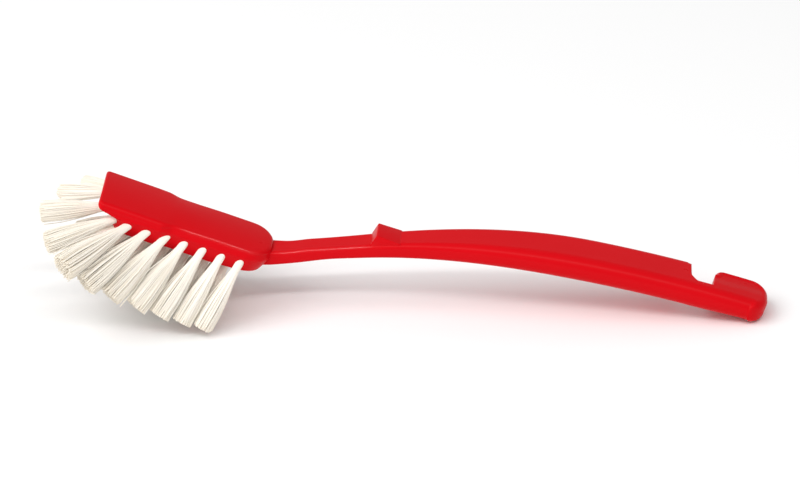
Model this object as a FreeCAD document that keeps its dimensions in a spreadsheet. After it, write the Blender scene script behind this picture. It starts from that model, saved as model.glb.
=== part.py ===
"""Dish brush: a moulded head, neck and arched grip, with tufts set in the head.

Everything is drawn with the head's top face level. X runs from the bristle end to
the hook end, Y runs to the far side (the side of the hang notch) and Z is up, with
zero at the rear end of the head's top face. At the end the whole brush is tilted
until its lowest bristle tips and the end of its grip stand on the floor together.
"""
import FreeCAD
import Part
import Sketcher
import math
import os
import re

# Driving dimensions, in millimetres and degrees.
SIZES = {
    # Head, seen from above: the front half is a little wider than the rear half.
    "head_length": 70.2,
    "front_width": 28.0,
    "rear_width": 24.0,
    "step_from_rear": 42.0,
    "step_run": 4.0,
    "lip_corner": 0.8,
    "rear_rounding": 10.0,
    # Head, seen from the end: arched top, soft front edge, wall, bevelled rim and flat bed.
    "crown": 1.2,
    "rear_fall": 3.0,
    "soft_edge": 1.8,
    "rim_depth": 4.0,
    "front_rim": 28.6,
    "rear_rim": 25.8,
    "rim_behind": 0.8,
    "rim_corner": 9.0,
    "lip_overhang": 5.2,
    "bevel_width": 2.6,
    "bed_depth": 10.6,
    # Centre line of the neck and grip: a straight run, an arch and a flatter tail.
    "neck_drop": 4.3,
    "neck_angle": 25.6,
    "neck_length": 38.9,
    "neck_bury": 5.0,
    "arch_radius": 300.0,
    "arch_length": 86.9,
    "tail_radius": 600.0,
    "tail_length": 69.9,
    # Cross-sections of the neck and grip, and where one swells into the other.
    "neck_width": 8.7,
    "neck_thickness": 5.4,
    "neck_edge": 0.7,
    "neck_flare": 1.4,
    "flare_length": 9.0,
    "grip_width": 22.4,
    "grip_thickness": 9.5,
    "grip_edge": 3.9,
    "swell_start": 12.0,
    "swell_length": 114.0,
    "end_rounding": 8.8,
    # Thumb stop: a wedge across the neck, steep towards the head.
    "stop_position": 39.8,
    "stop_length": 12.0,
    "stop_front_run": 3.1,
    "stop_height": 4.4,
    "stop_width": 9.5,
    # Hang notch: cut in from the far side of the tail.
    "notch_from_end": 31.4,
    "notch_floor": 6.6,
    "notch_depth": 16.0,
    "notch_corner_run": 2.5,
    "notch_corner_rise": 3.5,
    "hook_lean": 7.0,
    "hook_rounding": 4.5,
    # Tufts: blind holes, round roots and flared free ends.
    "root_diameter": 3.2,
    "root_clearance": 0.08,
    "tip_diameter": 7.6,
    "outer_hole_depth": 3.8,
    "inner_hole_depth": 6.0,
    "rear_free_length": 30.1,
    "side_free_length": 33.0,
    "lip_free_length": 29.4,
    "inner_free_length": 27.2,
    # Layout of the tufts: from the head's rear end to the first, and from its front end to the last.
    "first_tuft": 10.75,
    "last_tuft": 13.77,
    "outer_inset": 1.08,
    "inner_row": 4.2,
    "pair_turn": 45.0,
    "pair_depth": 6.8,
    "centre_depth": 7.8,
    # How far the tufts lean forward and splay sideways.
    "lean_rear": 11.5,
    "lean_front": 51.8,
    "lean_pair": 56.6,
    "lean_centre": 61.8,
    "splay_rear": 23.0,
    "splay_front": 42.0,
    "splay_inner": 9.0,
    "splay_pair": 20.6,
    # Flat wire anchors, driven across the holes over the folded tufts.
    "anchor_thickness": 0.35,
    "anchor_height": 1.35,
    "anchor_bite": 0.4,
    "fold_thickness": 0.9,
}

OUTER_TUFTS = 7      # on each side
INNER_TUFTS = 6      # on each side
NEAR = -1            # the near side is towards -Y
FAR = 1
ROUNDEST = 0.95      # a corner's rounding stays under this share of the half width it is on
EDGE_ANGLES = [0, 30, 60, 90]      # outlines round the head's upper edge
CROWN_SHARES = [0.7, 0.4]          # outlines up its arched top, as shares of the top's width

# Where the handle's sections stand, as shares of the length of each run.
NECK_ROOT = [(0.0, 1.0), (0.35, 0.4), (1.0, 0.0)]      # share of the flare's length, share of its width
NECK_SHARES = [0.45, 0.75]
ARCH_SHARES = [0.0, 0.2, 0.4, 0.6, 0.8]
TAIL_SHARES = [0.0, 0.35, 0.7, 1.0]
END_ANGLES = [20, 40, 57, 72, 84, 90]                  # round the quarter circle of the end

doc = FreeCAD.newDocument("DishBrush")
sheet = doc.addObject("Spreadsheet::Sheet", "Sizes")


def set_size(row, name, value):
    """One row of the sheet: the size's name, and its value under that alias."""
    sheet.set(f"A{row}", name)
    sheet.set(f"B{row}", str(value))
    sheet.setAlias(f"B{row}", name)


# The last three rows say how the finished brush lies: they are worked out at the end.
REST = ["rest_tilt", "rest_x", "rest_z"]
ROWS = {name: row for row, name in enumerate([*SIZES, *REST], start=1)}
for name, row in ROWS.items():
    set_size(row, name, SIZES.get(name, 0))
doc.recompute()

ALIAS = re.compile(r"\b(" + "|".join(ROWS) + r")\b")


def bound(text):
    """The same expression with each size pointing at its cell in the sheet."""
    return ALIAS.sub(r"Sizes.\1", text)


def number(text):
    """What an expression comes to now."""
    return float(sheet.evalExpression(bound(text)))


def placed(x, y, z, pitch="0", roll="0", yaw="0"):
    """Expression for a placement: a position and turns about Z, then Y, then X."""
    turn = f"create(<<rotation>>; {yaw}; {pitch}; {roll})"
    return f"create(<<placement>>; create(<<vector>>; {x}; {y}; {z}); {turn})"


REST_PLACEMENT = placed("rest_x", "0", "rest_z", pitch="rest_tilt")


def add(kind, label, **links):
    """A document object with its label and plain properties."""
    item = doc.addObject(kind, label)
    item.Label = label
    for key, value in links.items():
        setattr(item, key, value)
    return item


def bind(item, **expressions):
    """Tie an object's sizes or its placement to the sheet."""
    for key, text in expressions.items():
        item.setExpression(key, bound(text))
    return item


# Outlines

def bulge(start, end, radius):
    """Arc from start to end, turning left about its centre, under a half circle."""
    chord = end - start
    sagitta = radius - math.sqrt(radius ** 2 - (chord.Length / 2) ** 2)
    outward = FreeCAD.Vector(chord.y, -chord.x, 0).normalize()
    return Part.Arc(start, (start + end) / 2 + outward * sagitta, end)


def outline(label, corners, placement):
    """A closed sketch. A corner is (x, y, radius): an arc leaves it if radius is given."""
    sketch = add("Sketcher::SketchObject", label)
    spots = [FreeCAD.Vector(number(x), number(y), 0) for x, y, _ in corners]
    for index, (_, _, radius) in enumerate(corners):
        start, end = spots[index], spots[(index + 1) % len(spots)]
        edge = bulge(start, end, number(radius)) if radius else Part.LineSegment(start, end)
        sketch.addGeometry(edge)
    for index, (x, y, radius) in enumerate(corners):
        following = (index + 1) % len(corners)
        sketch.addConstraint(Sketcher.Constraint("Coincident", index, 2, following, 1))
        limits = [("DistanceX", (index, 1), x), ("DistanceY", (index, 1), y)]
        if radius:
            limits.append(("Radius", (index,), radius))
        for kind, where, text in limits:
            row = sketch.addConstraint(Sketcher.Constraint(kind, *where, number(text)))
            sketch.setExpression(f"Constraints[{row}]", bound(text))
    return bind(sketch, Placement=placement)


def loft(label, sections, ruled):
    return add("Part::Loft", label, Sections=sections, Solid=True, Ruled=ruled)


# Head: level outlines, from the bed at the bottom, up the wall and over the edge to the top face

def head_outline(label, depth, front_half, rear_half, front, rear, front_corner, rear_corner):
    """Plan of the head at one depth, with its side steps and rounded corners."""
    step_front = "-(step_from_rear + step_run / 2)"
    step_rear = "-(step_from_rear - step_run / 2)"
    front_arc = f"min({front_corner}; {ROUNDEST} * ({front_half}))"
    rear_arc = f"min({rear_corner}; {ROUNDEST} * ({rear_half}))"
    corners = [
        (f"{front_arc} - ({front})", f"-({front_half})", None),
        (step_front, f"-({front_half})", None),
        (step_rear, f"-({rear_half})", None),
        (f"{rear} - {rear_arc}", f"-({rear_half})", rear_arc),
        (rear, f"{rear_arc} - ({rear_half})", None),
        (rear, f"{rear_half} - {rear_arc}", rear_arc),
        (f"{rear} - {rear_arc}", rear_half, None),
        (step_rear, rear_half, None),
        (step_front, front_half, None),
        (f"{front_arc} - ({front})", front_half, front_arc),
        (f"-({front})", f"{front_half} - {front_arc}", None),
        (f"-({front})", f"{front_arc} - ({front_half})", front_arc),
    ]
    return outline(label, corners, placed("0", "0", f"-({depth})"))


def rim_outline(label, depth, inset):
    """Plan of the bevelled rim, some way in from its widest outline."""
    return head_outline(label, depth, f"front_rim / 2 - {inset}", f"rear_rim / 2 - {inset}",
                        f"head_length - lip_overhang - {inset}", f"rim_behind - {inset}",
                        f"rim_corner - {inset}",
                        f"rear_rounding + (rear_rim - rear_width) / 2 - {inset}")


def edge_outline(angle):
    """Plan at an angle round the upper edge: the front half is rounded, the rear half is wall."""
    depth = f"(crown + soft_edge * (1 - sin({angle})))"
    share = f"(({depth} - crown) / (rim_depth - crown))"
    flare = f"{share} * (rear_rim - rear_width) / 2"
    return head_outline(f"Edge{angle}Outline", depth,
                        f"front_width / 2 - soft_edge * (1 - cos({angle}))",
                        f"rear_width / 2 + {flare}", "head_length", f"rim_behind * {share}",
                        "lip_corner", f"rear_rounding + {flare}")


def crown_outline(share):
    """Plan at a share of the arched top's width, on a parabola that is flat inside the last share."""
    flat = CROWN_SHARES[-1]
    height_left = (share ** 2 - flat ** 2) / (1 - flat ** 2)
    return head_outline(f"Crown{share * 100:.0f}Outline", f"crown * {height_left:.4f}",
                        f"{share} * (front_width / 2 - soft_edge)", f"{share} * rear_width / 2",
                        "head_length", f"-rear_fall * {1 - share:.4f}",
                        "lip_corner", f"{share} * rear_rounding")


def head_block():
    levels = [rim_outline("BedOutline", "bed_depth", "bevel_width"),
              rim_outline("RimOutline", "rim_depth", "0")]
    levels += [edge_outline(angle) for angle in EDGE_ANGLES]
    levels += [crown_outline(share) for share in CROWN_SHARES]
    return loft("HeadBlock", levels, ruled=True)


# Neck and grip: rounded sections along the centre line

def neck_run(distance):
    """Position and slope at a distance along the straight neck."""
    return (f"({distance}) * cos(neck_angle)",
            f"({distance}) * sin(neck_angle) - neck_drop",
            "neck_angle")


def arc_run(start, radius, distance):
    """Position and slope at a distance along an arc that bends down from start."""
    x, z, slope = start
    heading = f"({slope} - ({distance}) / {radius} * 180 / pi)"
    return (f"({x} + {radius} * (sin({slope}) - sin{heading}))",
            f"({z} + {radius} * (cos{heading} - cos({slope})))",
            heading)


NECK_END = neck_run("neck_length")
ARCH_END = arc_run(NECK_END, "arch_radius", "arch_length")


def station(run, distance):
    """Placement on the centre line, X along it, and how far it is from the head."""
    if run == "neck":
        x, z, slope = neck_run(distance)
        reach = distance
    elif run == "arch":
        x, z, slope = arc_run(NECK_END, "arch_radius", distance)
        reach = f"neck_length + {distance}"
    else:
        x, z, slope = arc_run(ARCH_END, "tail_radius", distance)
        reach = f"neck_length + arch_length + {distance}"
    return placed(x, "0", z, pitch=f"-({slope})"), f"({reach})"


def swell(neck_size, grip_size, reach):
    """A size that eases from the neck's to the grip's: 3t^2 - 2t^3."""
    share = f"min(1; max(0; ({reach} - swell_start) / swell_length))"
    return f"({neck_size} + ({grip_size} - {neck_size}) * {share}^2 * (3 - 2 * {share}))"


ACROSS = placed("0", "0", "0", roll="90", yaw="90")      # a sketch square to the centre line


def section(label, run, distance, flare="0", pinch_width="0", pinch_height="0"):
    """Rounded rectangle across the centre line, flared at the head or pinched at the end."""
    place, reach = station(run, distance)
    width = swell("neck_width", "grip_width", reach)
    thickness = swell("neck_thickness", "grip_thickness", reach)
    half_width = f"({width} / 2 + {flare} - {pinch_width})"
    half_height = f"({thickness} / 2 + {flare} - {pinch_height})"
    widest_edge = f"{ROUNDEST} * min({half_width}; {half_height})"
    edge = f"min({swell('neck_edge', 'grip_edge', reach)}; {widest_edge})"
    inner_width = f"({half_width} - {edge})"
    inner_height = f"({half_height} - {edge})"
    corners = [
        (f"-{inner_width}", f"-{half_height}", None),
        (inner_width, f"-{half_height}", edge),
        (half_width, f"-{inner_height}", None),
        (half_width, inner_height, edge),
        (inner_width, half_height, None),
        (f"-{inner_width}", half_height, edge),
        (f"-{half_width}", inner_height, None),
        (f"-{half_width}", f"-{inner_height}", edge),
    ]
    return outline(label, corners, f"{place} * {ACROSS}")


def handle_bar():
    """Neck, arch and tail, as far as the start of the rounded end."""
    sections = [section("Buried", "neck", "-neck_bury", "neck_flare / 2")]
    for share, flare in NECK_ROOT:
        sections.append(section(f"NeckRoot{len(sections)}", "neck", f"{share} * flare_length",
                                f"{flare} * neck_flare / 2"))
    for run, shares, length in (("neck", NECK_SHARES, "neck_length"),
                                ("arch", ARCH_SHARES, "arch_length"),
                                ("tail", TAIL_SHARES, "(tail_length - end_rounding)")):
        for share in shares:
            label = f"{run.title()}{len(sections)}"
            sections.append(section(label, run, f"{share} * {length}"))
    return sections[-1], loft("HandleBar", sections, ruled=False)


def handle_end(first):
    """The rounded end: sections that follow a quarter circle in plan and in side view."""
    sections = [first]
    for angle in END_ANGLES:
        ahead = f"end_rounding * sin({angle})"
        left = f"(end_rounding - {ahead})"
        into_edge = f"max(0; grip_edge - {left})"
        pinch_height = f"(grip_edge - sqrt(grip_edge^2 - {into_edge}^2))"
        pinch_width = f"end_rounding * (1 - cos({angle}))"
        sections.append(section(f"End{angle}", "tail", f"(tail_length - end_rounding + {ahead})",
                                pinch_width=pinch_width, pinch_height=pinch_height))
    return loft("HandleEnd", sections, ruled=False)


def thumb_stop():
    """A wedge on top of the neck, sunk to the neck's centre line."""
    place, reach = station("neck", "stop_position")
    top = f"({swell('neck_thickness', 'grip_thickness', reach)} / 2)"
    corners = [
        ("0", "0", None),
        ("stop_length", "0", None),
        ("stop_length", top, None),
        ("stop_front_run", f"{top} + stop_height", None),
        ("0", top, None),
    ]
    upright = placed("0", "0", "0", roll="90")
    profile = outline("StopProfile", corners, f"{place} * {upright}")
    wedge = add("Part::Extrusion", "ThumbStop", Base=profile, DirMode="Normal", Solid=True,
                Symmetric=True)
    return bind(wedge, LengthFwd="stop_width")


def hang_notch():
    """The notch in plan: square wall, sloped corner, floor, and the leaning wall of the hook."""
    place, _ = station("tail", "(tail_length - notch_from_end)")
    edge = "(grip_width / 2)"
    floor = f"({edge} - notch_depth)"
    outside = f"({edge} + notch_depth)"
    floor_end = "(notch_corner_run + notch_floor)"
    wall_top = f"({edge} - hook_rounding * (1 - sin(hook_lean)))"
    wall_end = f"({floor_end} + ({wall_top} - {floor}) * tan(hook_lean))"
    hook_start = f"({wall_end} + hook_rounding * cos(hook_lean))"
    corners = [
        ("0", outside, None),
        (hook_start, outside, None),
        (hook_start, edge, "hook_rounding"),
        (wall_end, wall_top, None),
        (floor_end, floor, None),
        ("notch_corner_run", floor, None),
        ("0", f"{floor} + notch_corner_rise", None),
    ]
    profile = outline("NotchProfile", corners, place)
    notch = add("Part::Extrusion", "HangNotch", Base=profile, DirMode="Normal", Solid=True,
                Symmetric=True)
    through = "3 * grip_thickness"
    return bind(notch, LengthFwd=through)


# Tufts, their holes and their anchors share one list of seats

def between(rear, front, share):
    """A value part of the way from the rear tuft's to the front one's."""
    return f"({rear} + ({front} - {rear}) * {share:.4f})"


def rim_half_at(along):
    """Half width of the rim at a distance from the head's rear end: it widens at the step."""
    share = f"min(1; max(0; ({along} - step_from_rear) / step_run + 0.5))"
    return f"(rear_rim / 2 + (front_rim - rear_rim) / 2 * {share})"


def bevel_depth_at(inset):
    """Depth of the head's bevel at a distance in from its rim."""
    return f"(rim_depth + {inset} * (bed_depth - rim_depth) / bevel_width)"


def bevel_inset_at(depth):
    """How far in from its rim the head's bevel is at a depth."""
    return f"(({depth} - rim_depth) * bevel_width / (bed_depth - rim_depth))"


def tuft_along(steps):
    """Distance from the head's rear end after some even steps from the first tuft to the last."""
    return f"(first_tuft + {steps} * (head_length - first_tuft - last_tuft) / {OUTER_TUFTS - 1})"


def seat(label, along, across, depth, lean, splay, hole_depth, free_length):
    """Where a tuft leaves the head, which way it points, and how deep it is set."""
    place = placed(f"-({along})", across, f"-({depth})", pitch=lean, roll=f"(180 + {splay})")
    return {"label": label, "place": place, "hole": hole_depth, "free": free_length}


def outer_seat(side, name, index):
    """A tuft on the bevel along one side of the head."""
    along = tuft_along(index)
    share = index / (OUTER_TUFTS - 1)
    return seat(f"tuft_{name}_{index + 1}", along,
                f"{side} * ({rim_half_at(along)} - outer_inset)", bevel_depth_at("outer_inset"),
                between("lean_rear", "lean_front", share ** 2),
                f"{side} * {between('splay_rear', 'splay_front', share ** 2)}",
                "outer_hole_depth", between("rear_free_length", "side_free_length", share))


def inner_seat(side, name, index):
    """A tuft on the flat bed, halfway between two outer ones."""
    share = (index + 0.5) / (OUTER_TUFTS - 1)
    return seat(f"tuft_inner_{name}_{index + 1}", tuft_along(index + 0.5), f"{side} * inner_row",
                "bed_depth", between("lean_rear", "lean_front", share ** 2),
                f"{side} * splay_inner", "inner_hole_depth", "inner_free_length")


def corner_seat(side, name):
    """A tuft on the rounded front corner of the bevel."""
    inset = bevel_inset_at("pair_depth")
    corner = f"(rim_corner - {inset})"
    along = f"(head_length - lip_overhang - {inset} - {corner} * (1 - cos(pair_turn)))"
    across = f"(front_rim / 2 - {inset} - {corner} * (1 - sin(pair_turn)))"
    return seat(f"tuft_front_{name}", along, f"{side} * {across}", "pair_depth", "lean_pair",
                f"{side} * splay_pair", "outer_hole_depth", "lip_free_length")


def tuft_seats():
    seats = []
    for side, name in ((NEAR, "near"), (FAR, "far")):
        seats += [outer_seat(side, name, index) for index in range(OUTER_TUFTS)]
        seats += [inner_seat(side, name, index) for index in range(INNER_TUFTS)]
        seats.append(corner_seat(side, name))
    front = f"(head_length - lip_overhang - {bevel_inset_at('centre_depth')})"
    seats.append(seat("tuft_front_centre", front, "0", "centre_depth", "lean_centre", "0",
                      "outer_hole_depth", "lip_free_length"))
    return seats


def tuft_hole(spot):
    """Blind hole: from its floor, out past the slanted face that it is drilled in."""
    hole = add("Part::Cylinder", f"Hole_{spot['label']}")
    floor = placed("0", "0", f"-{spot['hole']}")
    return bind(hole, Radius="root_diameter / 2 + root_clearance",
                Height=f"{spot['hole']} + root_diameter",
                Placement=f"{spot['place']} * {floor}")


def anchor(spot):
    """Flat wire across a hole, as far above its floor as the folded tuft is thick."""
    wire = add("Part::Box", f"Wire_{spot['label']}")
    length = "(root_diameter + 2 * (root_clearance + anchor_bite))"
    corner = placed(f"-{length} / 2", "-anchor_thickness / 2", f"fold_thickness - {spot['hole']}")
    return bind(wire, Length=length, Width="anchor_thickness", Height="anchor_height",
                Placement=f"{spot['place']} * {corner}")


def tuft(spot, wire):
    """Folded tuft: a round root, from the hole's floor to past its mouth, and a flared end."""
    label = spot["label"]
    past_mouth = "root_diameter / 2"
    floor = placed("0", "0", f"-{spot['hole']}")
    root = bind(add("Part::Cylinder", f"Root_{label}"), Radius="root_diameter / 2",
                Height=f"{spot['hole']} + {past_mouth}", Placement=f"{spot['place']} * {floor}")
    flare = bind(add("Part::Cone", f"Flare_{label}"), Radius1="root_diameter / 2",
                 Radius2="tip_diameter / 2", Height=f"{spot['free']} - {past_mouth}",
                 Placement=f"{spot['place']} * {placed('0', '0', past_mouth)}")
    whole = add("Part::Fuse", f"Whole_{label}", Base=root, Tool=flare)
    slotted = add("Part::Cut", label, Base=whole, Tool=wire)
    return bind(slotted, Placement=REST_PLACEMENT)


def brush_body(holes, wires):
    """The moulding: head, neck, grip and thumb stop in one, with its notch, holes and bites."""
    last_section, bar = handle_bar()
    solid = add("Part::MultiFuse", "Moulding",
                Shapes=[head_block(), bar, handle_end(last_section), thumb_stop()])
    hooked = add("Part::Cut", "Hooked", Base=solid, Tool=hang_notch())
    all_holes = add("Part::Compound", "Holes", Links=holes)
    drilled = add("Part::Cut", "Drilled", Base=hooked, Tool=all_holes)
    all_wires = add("Part::Compound", "Bites", Links=wires)
    body = add("Part::Cut", "brush_body", Base=drilled, Tool=all_wires)
    return bind(body, Placement=REST_PLACEMENT)


# Laying the brush on the floor

def points_of(shapes):
    """Points on the surface of some shapes, close enough to find what they stand on."""
    fineness = 0.05
    return [point for shape in shapes for point in shape.tessellate(fineness)[0]]


def turned(point, tilt):
    """A point's X and Z after the brush is tilted, front up."""
    angle = math.radians(tilt)
    return (point.x * math.cos(angle) + point.z * math.sin(angle),
            point.z * math.cos(angle) - point.x * math.sin(angle))


def lowest(points, tilt):
    return min(turned(point, tilt)[1] for point in points)


def lay_down(body, tufts):
    """Tilt the brush until tips and grip end are level, then centre it over its footprint."""
    body_points = points_of([body.Shape])
    tuft_points = points_of([item.Shape for item in tufts])
    flat, steep = 0.0, 60.0
    while steep - flat > 1e-4:
        tilt = (flat + steep) / 2
        if lowest(tuft_points, tilt) < lowest(body_points, tilt):
            flat = tilt
        else:
            steep = tilt
    spots = [turned(point, steep) for point in body_points + tuft_points]
    left, right = min(x for x, _ in spots), max(x for x, _ in spots)
    floor = min(z for _, z in spots)
    for name, value in zip(REST, (steep, -(left + right) / 2, -floor)):
        set_size(ROWS[name], name, round(value, 4))
    doc.recompute()


def check(items):
    """Stop unless every object was worked out and every sub-part is a valid solid."""
    for item in doc.Objects:
        if "Invalid" in item.State or "Error" in item.State:
            raise RuntimeError(f"{item.Label} was not worked out: {item.State}")
    for item in items:
        if item.Shape.isNull() or not item.Shape.isValid() or not item.Shape.Solids:
            raise RuntimeError(f"{item.Label} is not a valid solid")


seats = tuft_seats()
wires = [anchor(spot) for spot in seats]
tufts = [tuft(spot, wire) for spot, wire in zip(seats, wires)]
body = brush_body([tuft_hole(spot) for spot in seats], wires)
staples = bind(add("Part::Compound", "anchor_staples", Links=wires), Placement=REST_PLACEMENT)
doc.recompute()
sub_parts = [body, *tufts, staples]
check(sub_parts)
lay_down(body, tufts)
check(sub_parts)

os.makedirs("parts", exist_ok=True)
for item in sub_parts:
    item.Shape.exportStep(f"parts/{item.Label}.step")

box = Part.makeCompound([item.Shape for item in sub_parts]).BoundBox
print(f"{len(sub_parts)} sub-parts, {box.XLength:.1f} x {box.YLength:.1f} x {box.ZLength:.1f} mm,"
      f" tilted {sheet.get('rest_tilt'):.2f} degrees at rest")
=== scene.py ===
# %% [markdown]
# # A dish brush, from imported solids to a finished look
#
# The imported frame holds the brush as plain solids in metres: the red moulding, a cone for each
# tuft and the flat wire that holds the tufts. This lesson gives them the look of the real brush.
# The moulding is drawn again with its true edge roundings, every cone becomes a bundle of
# filaments, and the wire keeps its solids and gets a metal finish.

# %% Load the frame
import math

import bpy
import numpy as np
from mathutils import Matrix, Vector


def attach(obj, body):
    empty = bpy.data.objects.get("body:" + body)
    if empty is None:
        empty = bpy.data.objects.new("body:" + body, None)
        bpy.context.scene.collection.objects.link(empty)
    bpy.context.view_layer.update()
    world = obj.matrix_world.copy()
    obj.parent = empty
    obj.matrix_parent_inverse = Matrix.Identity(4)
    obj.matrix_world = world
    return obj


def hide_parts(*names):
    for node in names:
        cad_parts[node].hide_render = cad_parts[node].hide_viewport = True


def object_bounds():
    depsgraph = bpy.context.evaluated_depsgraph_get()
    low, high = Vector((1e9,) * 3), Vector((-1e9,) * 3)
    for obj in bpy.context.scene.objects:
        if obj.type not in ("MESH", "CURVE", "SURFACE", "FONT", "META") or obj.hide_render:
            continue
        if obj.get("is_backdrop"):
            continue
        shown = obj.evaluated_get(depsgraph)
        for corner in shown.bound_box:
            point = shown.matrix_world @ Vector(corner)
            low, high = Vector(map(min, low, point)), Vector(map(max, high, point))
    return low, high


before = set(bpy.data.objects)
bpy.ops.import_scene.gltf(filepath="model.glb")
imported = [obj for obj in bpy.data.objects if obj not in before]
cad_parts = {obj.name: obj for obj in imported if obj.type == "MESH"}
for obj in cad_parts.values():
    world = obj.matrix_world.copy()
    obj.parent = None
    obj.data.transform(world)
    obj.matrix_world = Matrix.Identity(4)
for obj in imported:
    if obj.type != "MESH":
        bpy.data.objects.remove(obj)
cad_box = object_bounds()
print("frame:", len(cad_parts), "nodes between", cad_box[0][:], "and", cad_box[1][:])

# %% [markdown]
# ## From the drawing to the table
#
# A brush is easiest to draw with the top of its head level: X from the bristles to the hook end,
# Y to the far side, Z up, in millimetres, with zero at the rear end of the head. On the table it
# lies tilted, on its bristle tips and the end of its grip. So every shape below is worked out
# level, and one function lays it down and turns it into metres.

# %% Lay a drawing down
MM = 0.001
REST_TILT = math.radians(21.2552)
REST_SHIFT = np.array([-49.8714, 0.0, 29.2548])


def laid_down(points):
    """Level drawing to table: turn about Y by the tilt, shift, then millimetres to metres."""
    cos, sin = math.cos(REST_TILT), math.sin(REST_TILT)
    turn = np.array([[cos, 0.0, sin], [0.0, 1.0, 0.0], [-sin, 0.0, cos]])
    return (points @ turn.T + REST_SHIFT) * MM


def add_piece(name, points, faces):
    """A new object at the origin, with its place in its mesh."""
    mesh = bpy.data.meshes.new(name)
    mesh.from_pydata(points, [], faces)
    piece = bpy.data.objects.new(name, mesh)
    bpy.context.scene.collection.objects.link(piece)
    return piece


def skin(name, rings):
    """A closed mesh over a stack of rings, an array of (levels, around, 3) in drawing millimetres.

    Neighbouring rings are joined by quads, and the first and last rings are closed by flat caps.
    """
    levels, around, _ = rings.shape
    index = np.arange(levels * around).reshape(levels, around)
    beside = np.roll(index, -1, axis=1)
    quads = np.stack([index[:-1], beside[:-1], beside[1:], index[1:]], axis=-1).reshape(-1, 4)
    caps = [index[0][::-1].tolist(), index[-1].tolist()]
    print(f"{name}: {levels} rings of {around} points")
    return add_piece(name, laid_down(rings.reshape(-1, 3)), quads.tolist() + caps)


print("tilt on the table:", round(math.degrees(REST_TILT), 2), "degrees")

# %% [markdown]
# ## Outlines of the head
#
# The head is a block with a gently arched top and a lip at the front. Its front half is a little
# wider and has soft upper edges, its rear half has a crisp ridge, and below the rim it is
# bevelled in to a flat bed for the bristles. It could be a box with many bevels. Here it is a
# stack of plan outlines instead: each outline has the same number of points in the same order, so
# any mix of outlines is an outline too, and a rounded edge is only a few more rings.

# %% Plan outlines of the head
HEAD_LENGTH = 70.2
FRONT_HALF, REAR_HALF = 14.0, 12.0           # half widths of the top, ahead of and behind the step
STEP_AT, STEP_RUN = -42.0, 6.0
LIP_CORNER, REAR_ROUNDING = 2.4, 10.0
QUARTER = np.linspace(0, math.pi / 2, 25)    # angles round a quarter circle
FRONT_POINTS, SIDE_POINTS, REAR_POINTS = 14, (40, 30, 45), 4


def eased(share):
    """0 to 1 with a level start and end: 3 t^2 - 2 t^3, held outside that span."""
    share = np.clip(share, 0, 1)
    return share ** 2 * (3 - 2 * share)


def stepped(x, ahead, behind):
    """A size that eases from its value ahead of the step to its value behind it."""
    return ahead + (behind - ahead) * eased((x - STEP_AT) / STEP_RUN + 0.5)


def head_loop(front, rear, ahead, behind, front_rounding, rear_rounding):
    """One outline in plan: front edge, front arc, stepped side, rear arc, and all that mirrored."""
    fine = QUARTER[::2]
    marks = [front + front_rounding, STEP_AT - STEP_RUN / 2, STEP_AT + STEP_RUN / 2,
             rear - rear_rounding]
    side = np.concatenate([np.linspace(start, end, count, endpoint=False)
                           for start, end, count in zip(marks, marks[1:], SIDE_POINTS)])
    half = np.concatenate([
        np.column_stack([np.full(FRONT_POINTS, front),
                         np.linspace(0, ahead - front_rounding, FRONT_POINTS)]),
        np.column_stack([front + front_rounding * (1 - np.cos(fine)),
                         ahead - front_rounding * (1 - np.sin(fine))])[1:],
        np.column_stack([side, stepped(side, ahead, behind)])[1:],
        np.column_stack([rear - rear_rounding * (1 - np.sin(QUARTER)),
                         behind - rear_rounding * (1 - np.cos(QUARTER))]),
        np.column_stack([np.full(REAR_POINTS, rear),
                         np.linspace(behind - rear_rounding, 0, REAR_POINTS)])[1:],
    ])
    return np.concatenate([half, half[-2:0:-1] * [1, -1]])


def outward(loop):
    """Unit normals of a closed flat loop: the step between a point's neighbours, turned square."""
    step = np.roll(loop, -1, axis=0) - np.roll(loop, 1, axis=0)
    normal = np.column_stack([step[:, 1], -step[:, 0]])
    area = np.sum(loop[:, 0] * np.roll(loop[:, 1], -1) - np.roll(loop[:, 0], -1) * loop[:, 1])
    return np.sign(area) * normal / np.linalg.norm(normal, axis=1, keepdims=True)


print("head:", HEAD_LENGTH, "mm long,", 2 * FRONT_HALF, "and", 2 * REAR_HALF, "mm wide")

# %% [markdown]
# ## The head as a stack of rings
#
# The arched top is a parabola across the head. The first rings shrink towards a spine along the
# middle and only take their heights from it. The top edge is a quarter circle that is swept round
# the outline, with a radius that changes from soft to crisp at the step and back to soft at the
# rear. Below, two more outlines carry the wall and the bevel, and the rim between them is rounded
# by a short parabola.

# %% Build the head
CROWN_FRONT, CROWN_REAR = 1.0, 0.85          # how far the arched top falls to its sides
STEP_CROWN, STEP_REACH = 0.3, 16.0           # the arch is deepest just behind the step
REAR_FALL, REAR_FALL_RUN = 0.3, 6.0
SOFT_EDGE, CRISP_EDGE, REAR_EDGE = 1.9, 0.9, 1.7
RIDGE_FADE = 7.0
SPINE_INSET = 12.0
LIP_WALL, RIM_DEPTH, RIM_SWEEP = 1.0, 4.0, 2.2
BED_DEPTH, BED_SWEEP = 10.2, 0.9             # rim and bed both dip towards the front
RIM_DIP, BED_DIP = (-50.0, 12.0), (-8.0, 16.0)       # where each dip starts, and its run
RIM_PLAN = (-65.0, 0.8, 14.5, 13.2, 9.0, 11.2)       # front, rear, half widths, two roundings
BED_PLAN = (-62.4, -1.8, 13.0, 11.6, 6.4, 9.8)
TOP_SHARES = np.array([0.02, 0.2, 0.4, 0.6, 0.8, 0.95])      # rings between the spine and the edge
EDGE_TURN = QUARTER[::-3]                    # angles of the rings round the top's edge


def bend(start, corner, end, count=5):
    """Points along a parabola that rounds a corner: (1-t)^2 A + 2t(1-t) C + t^2 B."""
    t = np.linspace(0, 1, count)[:, None]
    start, corner, end = (np.array(place) for place in (start, corner, end))
    return (1 - t) ** 2 * start + 2 * t * (1 - t) * corner + t ** 2 * end


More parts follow.
